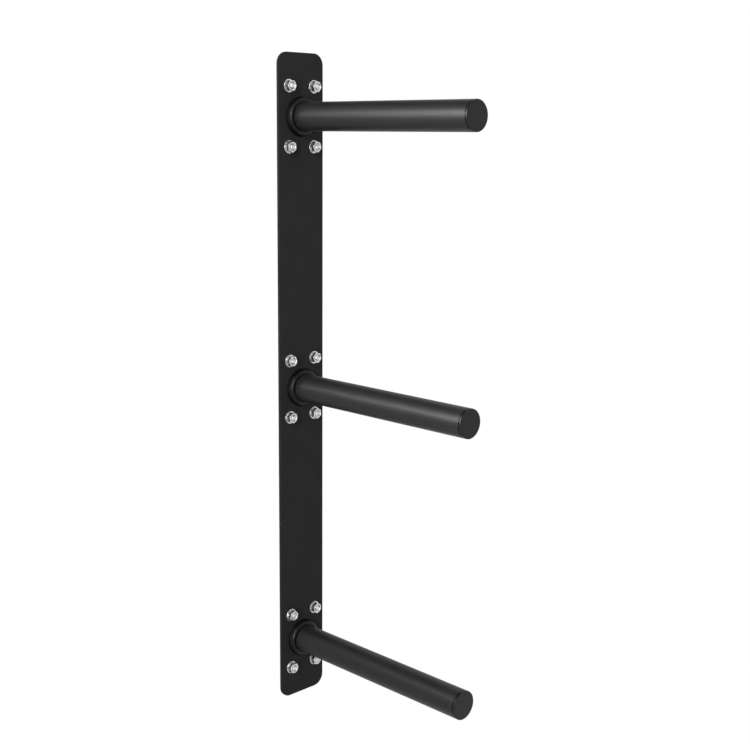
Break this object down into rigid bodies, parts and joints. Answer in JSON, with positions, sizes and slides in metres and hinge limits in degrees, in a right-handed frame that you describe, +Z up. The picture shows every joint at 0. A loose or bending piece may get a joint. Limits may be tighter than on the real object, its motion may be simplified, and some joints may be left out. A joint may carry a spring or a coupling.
{
  "type": "wall-mounted weight plate rack",
  "caption": "Upright black steel wall plate with level round pegs for hanging weight plates, each with a foot collar and an end cap, held by zinc sleeve anchors.",
  "frame": {"origin": "centre of the wall plate's back face, where it meets the wall, level with the middle peg", "axes": "+Z up along the wall plate, +Y into the wall, so the pegs point along -Y"},
  "size_m": [0.1, 0.445, 1.14],
  "materials": {
    "powder_coat_plate": "satin black powder coat, fine texture",
    "powder_coat_peg": "satin black powder coat, smoother and a little glossier than the plate",
    "collar": "moulded black plastic, satin",
    "cap": "moulded black plastic, fine grain",
    "zinc_fastener": "bright zinc plating",
    "zinc_anchor": "zinc plating, slightly dull"
  },
  "bodies": {
    "root": {"wall_plate": "powder_coat_plate", "upper_peg_tube": "powder_coat_peg", "upper_peg_collar": "collar", "upper_peg_cap": "cap", "middle_peg_tube": "powder_coat_peg", "middle_peg_collar": "collar", "middle_peg_cap": "cap", "lower_peg_tube": "powder_coat_peg", "lower_peg_collar": "collar", "lower_peg_cap": "cap", "upper_anchor_top_left_stud": "zinc_anchor", "upper_anchor_top_left_sleeve": "zinc_anchor", "upper_anchor_top_left_washer": "zinc_fastener", "upper_anchor_top_left_nut": "zinc_fastener", "upper_anchor_top_right_stud": "zinc_anchor", "upper_anchor_top_right_sleeve": "zinc_anchor", "upper_anchor_top_right_washer": "zinc_fastener", "upper_anchor_top_right_nut": "zinc_fastener", "upper_anchor_bottom_left_stud": "zinc_anchor", "upper_anchor_bottom_left_sleeve": "zinc_anchor", "upper_anchor_bottom_left_washer": "zinc_fastener", "upper_anchor_bottom_left_nut": "zinc_fastener", "upper_anchor_bottom_right_stud": "zinc_anchor", "upper_anchor_bottom_right_sleeve": "zinc_anchor", "upper_anchor_bottom_right_washer": "zinc_fastener", "upper_anchor_bottom_right_nut": "zinc_fastener", "middle_anchor_top_left_stud": "zinc_anchor", "middle_anchor_top_left_sleeve": "zinc_anchor", "middle_anchor_top_left_washer": "zinc_fastener", "middle_anchor_top_left_nut": "zinc_fastener", "middle_anchor_top_right_stud": "zinc_anchor", "middle_anchor_top_right_sleeve": "zinc_anchor", "middle_anchor_top_right_washer": "zinc_fastener", "middle_anchor_top_right_nut": "zinc_fastener", "middle_anchor_bottom_left_stud": "zinc_anchor", "middle_anchor_bottom_left_sleeve": "zinc_anchor", "middle_anchor_bottom_left_washer": "zinc_fastener", "middle_anchor_bottom_left_nut": "zinc_fastener", "middle_anchor_bottom_right_stud": "zinc_anchor", "middle_anchor_bottom_right_sleeve": "zinc_anchor", "middle_anchor_bottom_right_washer": "zinc_fastener", "middle_anchor_bottom_right_nut": "zinc_fastener", "lower_anchor_top_left_stud": "zinc_anchor", "lower_anchor_top_left_sleeve": "zinc_anchor", "lower_anchor_top_left_washer": "zinc_fastener", "lower_anchor_top_left_nut": "zinc_fastener", "lower_anchor_top_right_stud": "zinc_anchor", "lower_anchor_top_right_sleeve": "zinc_anchor", "lower_anchor_top_right_washer": "zinc_fastener", "lower_anchor_top_right_nut": "zinc_fastener", "lower_anchor_bottom_left_stud": "zinc_anchor", "lower_anchor_bottom_left_sleeve": "zinc_anchor", "lower_anchor_bottom_left_washer": "zinc_fastener", "lower_anchor_bottom_left_nut": "zinc_fastener", "lower_anchor_bottom_right_stud": "zinc_anchor", "lower_anchor_bottom_right_sleeve": "zinc_anchor", "lower_anchor_bottom_right_washer": "zinc_fastener", "lower_anchor_bottom_right_nut": "zinc_fastener"}
  },
  "joints": []
}
